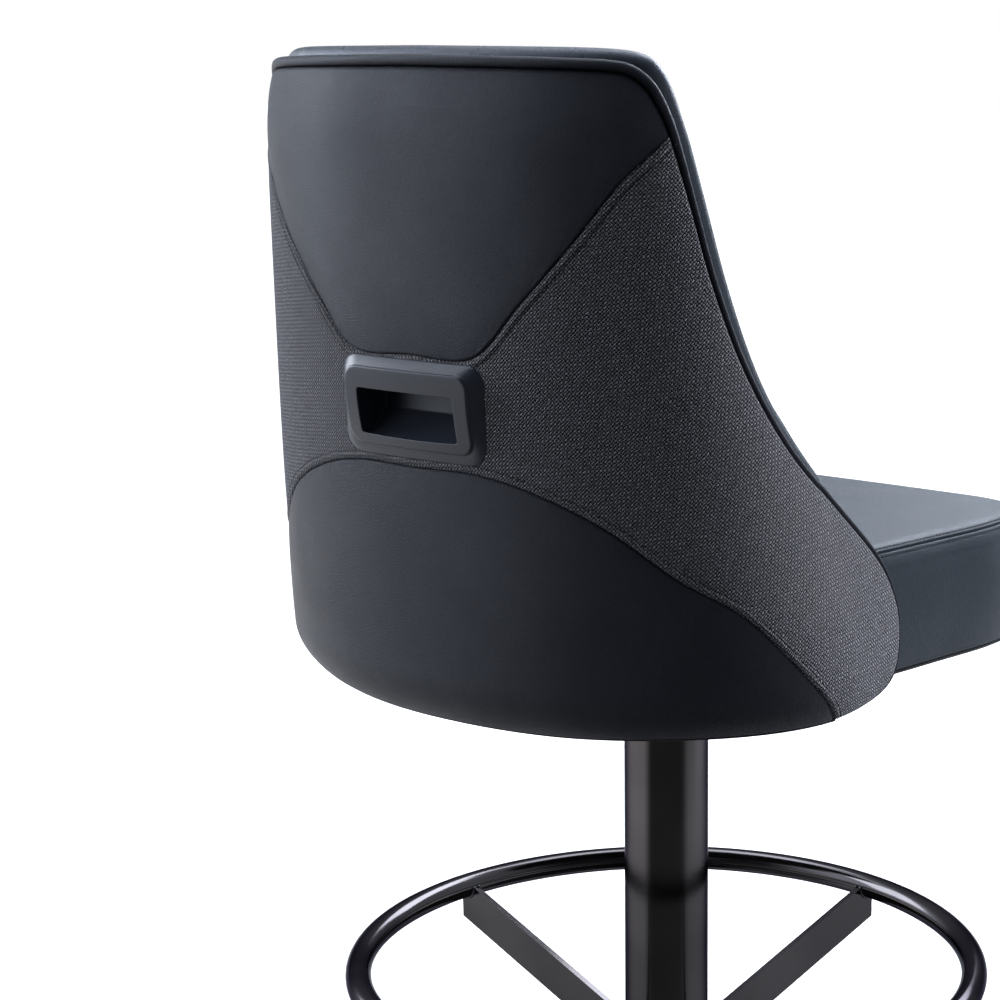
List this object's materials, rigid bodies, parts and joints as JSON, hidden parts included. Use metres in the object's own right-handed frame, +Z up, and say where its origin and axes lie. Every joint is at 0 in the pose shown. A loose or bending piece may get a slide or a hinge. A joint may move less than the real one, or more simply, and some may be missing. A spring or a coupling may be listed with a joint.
{
  "type": "gaming stool",
  "caption": "Upholstered swivel gaming stool with a wrap-round winged back, a recessed grab handle, a steel column with a spoked foot ring, and a round weighted base.",
  "frame": {"origin": "on the floor under the column's axis, at the centre of the floor pad's underside", "axes": "+Z up along the column; the seat faces -Y and the back with its grab handle is on +Y; +X is the sitter's left"},
  "size_m": [0.5852, 0.6287, 1.1069],
  "materials": {
    "back_weave": "coarse basket weave melange",
    "binding_cord": "matt",
    "black_nickel": "gloss black nickel",
    "bronze": "sintered",
    "cast_weight": "rough cast",
    "dark_steel": "satin",
    "floor_rubber": "matt",
    "handle_plastic": "satin, fine texture",
    "lining_felt": "felt",
    "outer_leather": "fine pebbled grain, low sheen",
    "pan_plastic": "matt",
    "plywood": "raw birch",
    "seat_leather": "fine pebbled grain, satin",
    "zinc_steel": "zinc plated"
  },
  "bodies": {
    "base": {"floor_pad": "floor_rubber", "base_weight": "cast_weight", "base_cover": "black_nickel", "base_neck_ring": "black_nickel", "column_flange": "dark_steel", "base_bolt_1": "zinc_steel", "base_bolt_2": "zinc_steel", "base_bolt_3": "zinc_steel", "base_bolt_4": "zinc_steel", "column_tube": "black_nickel", "foot_ring": "black_nickel", "foot_ring_spoke_1": "black_nickel", "foot_ring_spoke_2": "black_nickel", "foot_ring_spoke_3": "black_nickel", "foot_ring_spoke_4": "black_nickel", "foot_ring_hub": "black_nickel", "hub_set_screw_1": "dark_steel", "hub_set_screw_2": "dark_steel", "bearing_housing": "dark_steel", "upper_bush": "bronze", "lower_bush": "bronze", "thrust_race_lower": "zinc_steel", "thrust_ball_cage": "bronze"},
    "seat": {"thrust_race_upper": "zinc_steel", "spindle": "zinc_steel", "spindle_clip": "dark_steel", "spindle_washer": "zinc_steel", "swivel_plate": "dark_steel", "seat_bolt_1": "zinc_steel", "tee_nut_1": "zinc_steel", "seat_bolt_2": "zinc_steel", "tee_nut_2": "zinc_steel", "seat_bolt_3": "zinc_steel", "tee_nut_3": "zinc_steel", "seat_bolt_4": "zinc_steel", "tee_nut_4": "zinc_steel", "seat_pan": "pan_plastic", "seat_board": "plywood", "seat_cushion": "seat_leather", "handle_pocket": "handle_plastic", "handle_screw_1": "zinc_steel", "handle_screw_2": "zinc_steel", "handle_bezel": "handle_plastic", "back_bracket_left": "dark_steel", "bracket_leg_bolt_left": "zinc_steel", "bracket_foot_bolt_left": "zinc_steel", "back_bracket_right": "dark_steel", "bracket_leg_bolt_right": "zinc_steel", "bracket_foot_bolt_right": "zinc_steel", "back_shell": "plywood", "back_lining": "lining_felt", "lower_leather_cover": "outer_leather", "fabric_cover": "back_weave", "upper_leather_cover": "outer_leather", "edge_welt": "outer_leather", "rim_binding": "binding_cord", "back_cushion": "seat_leather"}
  },
  "joints": [
    {"name": "seat_swivel", "type": "hinge", "parent": "base", "child": "seat", "pos_m": [0, 0, 0.58], "axis": [0, 0, 1], "continuous": true}
  ]
}
